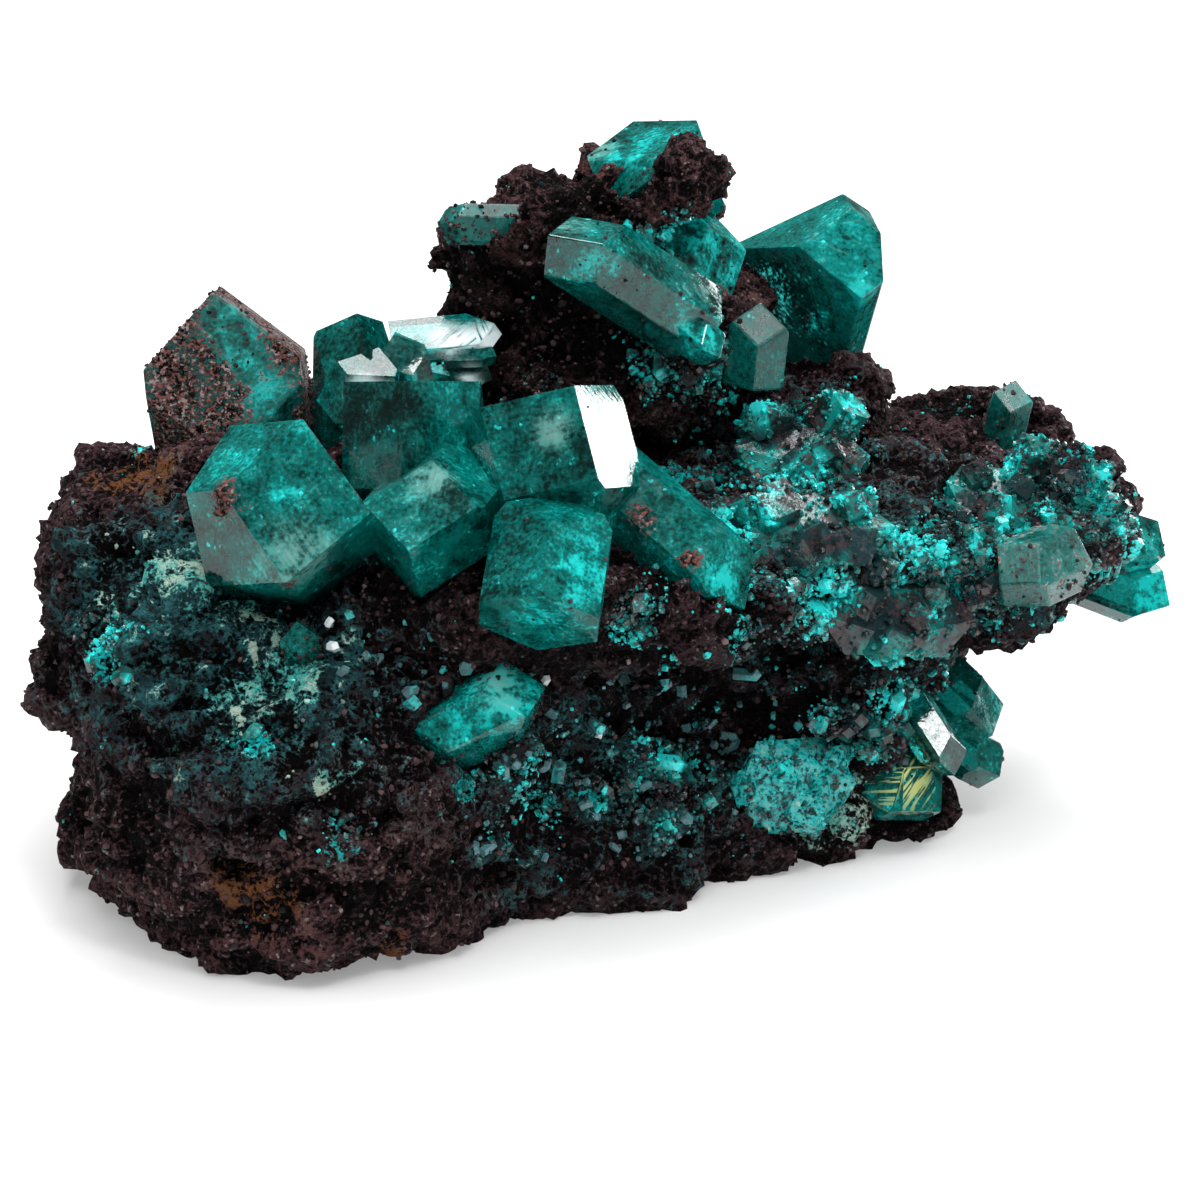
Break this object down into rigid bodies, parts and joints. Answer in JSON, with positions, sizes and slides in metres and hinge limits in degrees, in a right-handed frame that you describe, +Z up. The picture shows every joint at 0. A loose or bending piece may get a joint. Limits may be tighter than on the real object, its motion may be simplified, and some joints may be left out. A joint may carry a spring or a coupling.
{
  "type": "dioptase specimen on matrix",
  "caption": "Loose piece of dark brown granular rock with blocky emerald green hexagonal dioptase crystals and green crystal crusts; rests on its flat underside.",
  "frame": {"origin": "middle of the bounding box on the plane of the flat underside", "axes": "+X to the right of the front view along the longest extent, +Y to the back, +Z up"},
  "size_m": [0.051, 0.0352, 0.0315],
  "materials": {
    "matrix_rock": "matt granular limonite rock, dark brown with rust and mint patches",
    "dioptase": "glossy flat faces, see-through emerald green",
    "dioptase_coated": "green crystal with a thin brown limonite coat",
    "druse": "crust of small sparkling green crystals"
  },
  "bodies": {
    "root": {"matrix": "matrix_rock", "crystal_coated_left": "dioptase_coated", "cluster_back_left": "dioptase", "cluster_front": "dioptase", "crystal_lying": "dioptase", "crystal_pinnacle_left": "dioptase", "cluster_pinnacle": "dioptase", "cluster_pinnacle_top": "dioptase", "crystal_back_right": "dioptase", "crystal_back_right_small": "dioptase", "crystal_ridge": "dioptase", "cluster_ledge_end": "dioptase", "crystal_ledge_grey": "dioptase", "cluster_low_front": "dioptase", "cluster_low_end": "dioptase", "cluster_rear": "dioptase", "crystal_left_wall": "dioptase", "druse_ledge_top": "druse", "druse_ledge_front": "druse", "druse_ledge_gem": "druse", "druse_hollow": "druse", "druse_low_right": "druse"}
  },
  "joints": []
}
